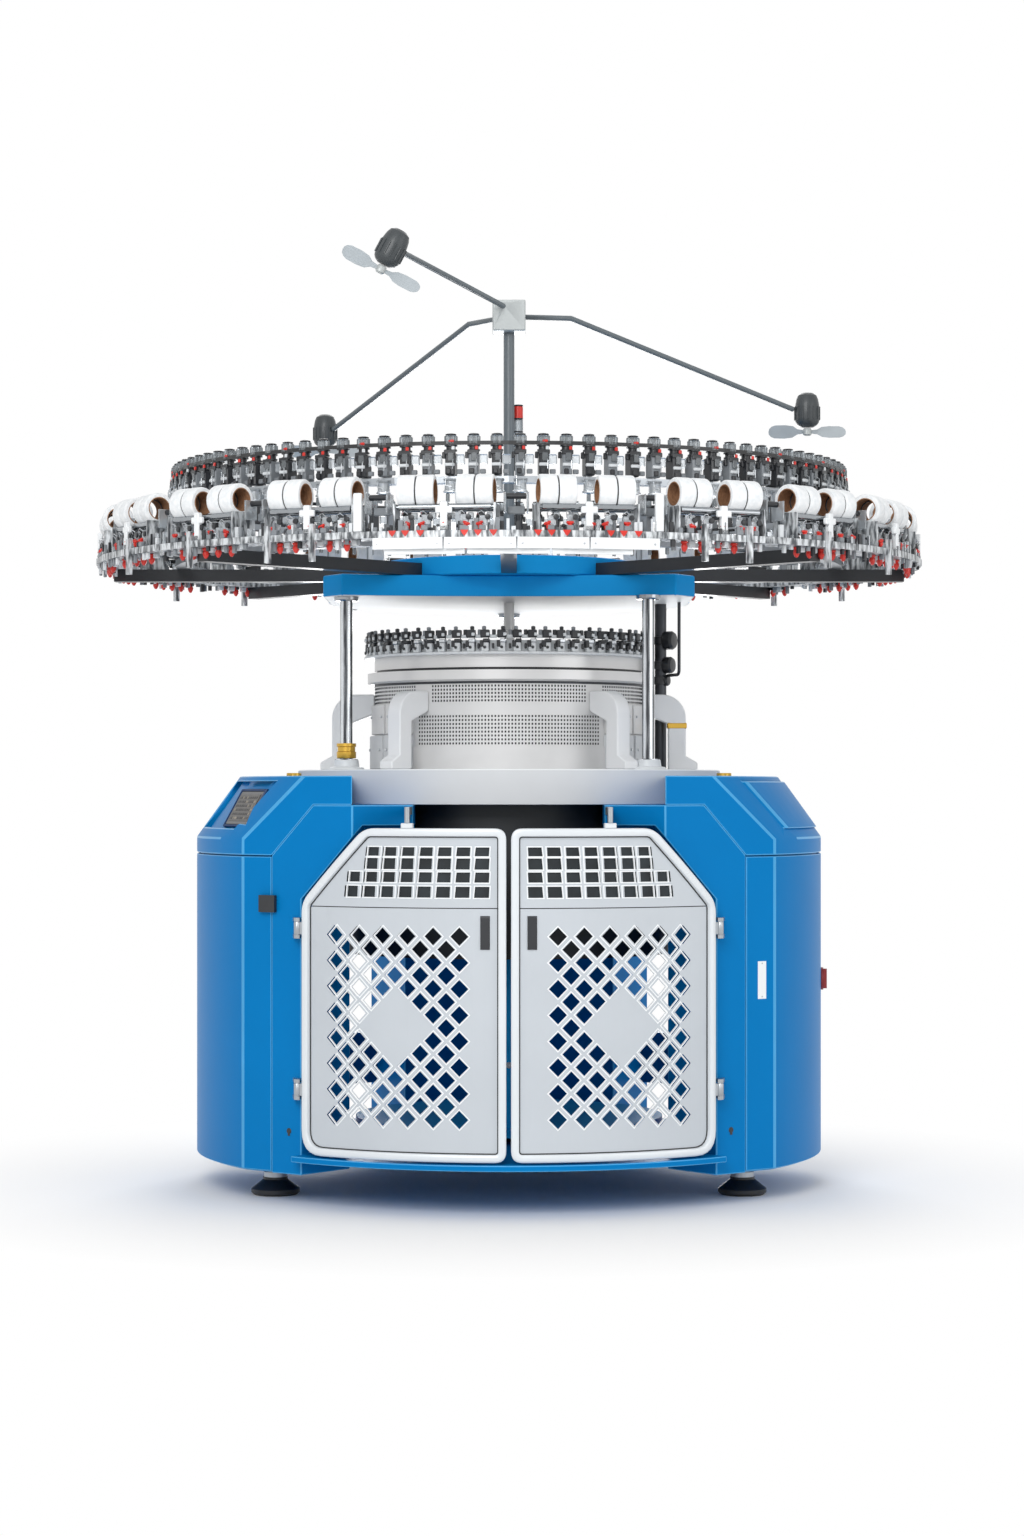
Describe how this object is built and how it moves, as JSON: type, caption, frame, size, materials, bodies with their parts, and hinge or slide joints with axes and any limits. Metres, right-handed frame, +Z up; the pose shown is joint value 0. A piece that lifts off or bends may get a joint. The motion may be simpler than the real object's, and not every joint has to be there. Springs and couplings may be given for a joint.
{
  "type": "circular knitting machine",
  "caption": "Large-diameter circular knitting machine: three-legged blue frame with latticed guard doors, silver cam drum, overhead ring of yarn feeders and lint fans.",
  "frame": {"origin": "on the floor, on the machine's vertical axis", "axes": "+Z up along the machine's axis; the guard doors face -Y; +X to the right seen from the front"},
  "size_m": [2.7836, 2.7836, 3.0539],
  "materials": {
    "blue_paint": "glossy blue enamel",
    "blue_inner": "blue enamel, in the shade",
    "silver_paint": "satin silver paint",
    "machined_steel": "turned steel",
    "chrome": "polished chrome",
    "drum_steel": "machined alloy with rows of screws",
    "black_paint": "black paint",
    "dark_steel": "oiled dark steel",
    "rubber": "black rubber",
    "zinc": "zinc-plated steel",
    "feeder_plastic": "grey moulded housing",
    "dark_plastic": "dark moulded plastic",
    "white_yarn": "tightly wound white yarn",
    "white_plastic": "white cover",
    "red_plastic": "red moulded plastic",
    "grey_column": "grey painted tube",
    "clear_plastic": "clear moulded blade",
    "display": "dark operating panel",
    "lamp": "signal lamp",
    "black_belt": "toothed belt"
  },
  "bodies": {
    "root": {"base_plate": "blue_paint", "leg_left": "blue_paint", "leg_right": "blue_paint", "leg_rear": "blue_paint", "cap_left": "blue_paint", "cap_right": "blue_paint", "cap_rear": "blue_paint", "top_plate": "blue_paint", "ring_hub": "blue_paint", "tie_beams": "blue_inner", "foot_pads": "rubber", "foot_stems": "zinc", "bed_plate": "machined_steel", "gear_guard": "dark_steel", "post_left": "chrome", "post_right": "chrome", "post_rear": "chrome", "drive_column": "dark_steel", "cam_drum": "drum_steel", "cylinder_rim": "machined_steel", "dial_cam": "machined_steel", "yarn_guides": "dark_plastic", "cam_brackets": "silver_paint", "ring_spokes": "black_paint", "feeder_frame": "zinc", "feeder_housings": "feeder_plastic", "feeder_pulleys": "dark_plastic", "drive_belt": "black_belt", "outer_rail": "zinc", "roller_rods": "chrome", "elastane_spools": "white_yarn", "stop_detectors": "red_plastic", "ring_panels": "white_plastic", "fan_column": "grey_column", "signal_tower": "lamp", "hinge_brackets": "zinc", "door_catches": "zinc", "display_panel": "display"},
    "cylinder": {"needle_cylinder": "machined_steel", "main_gear": "dark_steel", "takedown_frame": "blue_inner"},
    "draw_left": {"draw_roller_left": "zinc"},
    "draw_right": {"draw_roller_right": "zinc"},
    "winding": {"winding_roller": "zinc"},
    "dial": {"dial_plate": "machined_steel"},
    "fan_arms": {"fan_head": "grey_column", "fan_motors": "dark_plastic"},
    "fan_1": {"fan_blades_1": "clear_plastic"},
    "fan_2": {"fan_blades_2": "clear_plastic"},
    "fan_3": {"fan_blades_3": "clear_plastic"},
    "door_right": {"door_frame_right": "silver_paint", "door_panel_right": "silver_paint"},
    "door_left": {"door_frame_left": "silver_paint", "door_panel_left": "silver_paint"},
    "handle_right": {"door_handle_right": "dark_plastic"},
    "handle_left": {"door_handle_left": "dark_plastic"},
    "cabinet_right": {"cabinet_door_right": "blue_paint"},
    "cabinet_left": {"cabinet_door_left": "blue_paint"},
    "switch": {"main_switch": "red_plastic"},
    "latch": {"cabinet_latch": "dark_plastic"}
  },
  "joints": [
    {"name": "cylinder_spin", "type": "hinge", "parent": "root", "child": "cylinder", "pos_m": [0, 0, 1.3], "axis": [0, 0, 1], "continuous": true},
    {"name": "dial_spin", "type": "hinge", "parent": "root", "child": "dial", "pos_m": [0, 0, 1.75], "axis": [0, 0, 1], "continuous": true},
    {"name": "draw_left_spin", "type": "hinge", "parent": "cylinder", "child": "draw_left", "pos_m": [-0.0283, 0, 0.62], "axis": [0, 1, 0], "continuous": true},
    {"name": "draw_right_spin", "type": "hinge", "parent": "cylinder", "child": "draw_right", "pos_m": [0.0283, 0, 0.62], "axis": [0, 1, 0], "continuous": true},
    {"name": "winding_spin", "type": "hinge", "parent": "cylinder", "child": "winding", "pos_m": [0, 0, 0.42], "axis": [0, 1, 0], "continuous": true},
    {"name": "fan_arms_spin", "type": "hinge", "parent": "root", "child": "fan_arms", "pos_m": [0, 0, 2.9], "axis": [0, 0, 1], "continuous": true},
    {"name": "fan_1_spin", "type": "hinge", "parent": "fan_arms", "child": "fan_1", "pos_m": [-0.35809, -0.98386, 2.988], "axis": [-0.4695, 0, -0.8829], "continuous": true},
    {"name": "fan_2_spin", "type": "hinge", "parent": "fan_arms", "child": "fan_2", "pos_m": [1.03109, 0.18181, 2.63], "axis": [0, 0, -1], "continuous": true},
    {"name": "fan_3_spin", "type": "hinge", "parent": "fan_arms", "child": "fan_3", "pos_m": [-0.673, 0.80205, 2.63], "axis": [0, 0, -1], "continuous": true},
    {"name": "door_right_swing", "type": "hinge", "parent": "root", "child": "door_right", "pos_m": [0.6646, -0.79994, 0.6], "axis": [0, 0, 1], "range_deg": [0, 110]},
    {"name": "handle_right_pull", "type": "hinge", "parent": "door_right", "child": "handle_right", "pos_m": [0.07255, -1.01892, 0.9225], "axis": [-0.9975, -0.071, 0], "range_deg": [0, 30], "stiffness_Nm_per_rad": 0.4},
    {"name": "cabinet_right_swing", "type": "hinge", "parent": "root", "child": "cabinet_right", "pos_m": [1.05662, 0.12506, 0.6], "axis": [0, 0, 1], "range_deg": [0, 100]},
    {"name": "door_left_swing", "type": "hinge", "parent": "root", "child": "door_left", "pos_m": [-0.6646, -0.79994, 0.6], "axis": [0, 0, -1], "range_deg": [0, 110]},
    {"name": "handle_left_pull", "type": "hinge", "parent": "door_left", "child": "handle_left", "pos_m": [-0.07255, -1.01892, 0.9225], "axis": [-0.9975, 0.071, 0], "range_deg": [0, 30], "stiffness_Nm_per_rad": 0.4},
    {"name": "cabinet_left_swing", "type": "hinge", "parent": "root", "child": "cabinet_left", "pos_m": [-1.05662, 0.12506, 0.6], "axis": [0, 0, -1], "range_deg": [0, 100]},
    {"name": "main_switch_turn", "type": "hinge", "parent": "cabinet_right", "child": "switch", "pos_m": [1.05283, -0.07362, 0.68], "axis": [0.9976, -0.0698, 0], "range_deg": [0, 90]},
    {"name": "cabinet_latch_turn", "type": "hinge", "parent": "cabinet_left", "child": "latch", "pos_m": [-0.76125, -0.68573, 0.955], "axis": [-0.5709, -0.821, 0], "range_deg": [0, 90]}
  ],
  "couplings": [
    {"joint": "dial_spin", "follows": "cylinder_spin", "ratio": 1},
    {"joint": "draw_right_spin", "follows": "draw_left_spin", "ratio": -1},
    {"joint": "winding_spin", "follows": "draw_left_spin", "ratio": 0.77778}
  ]
}
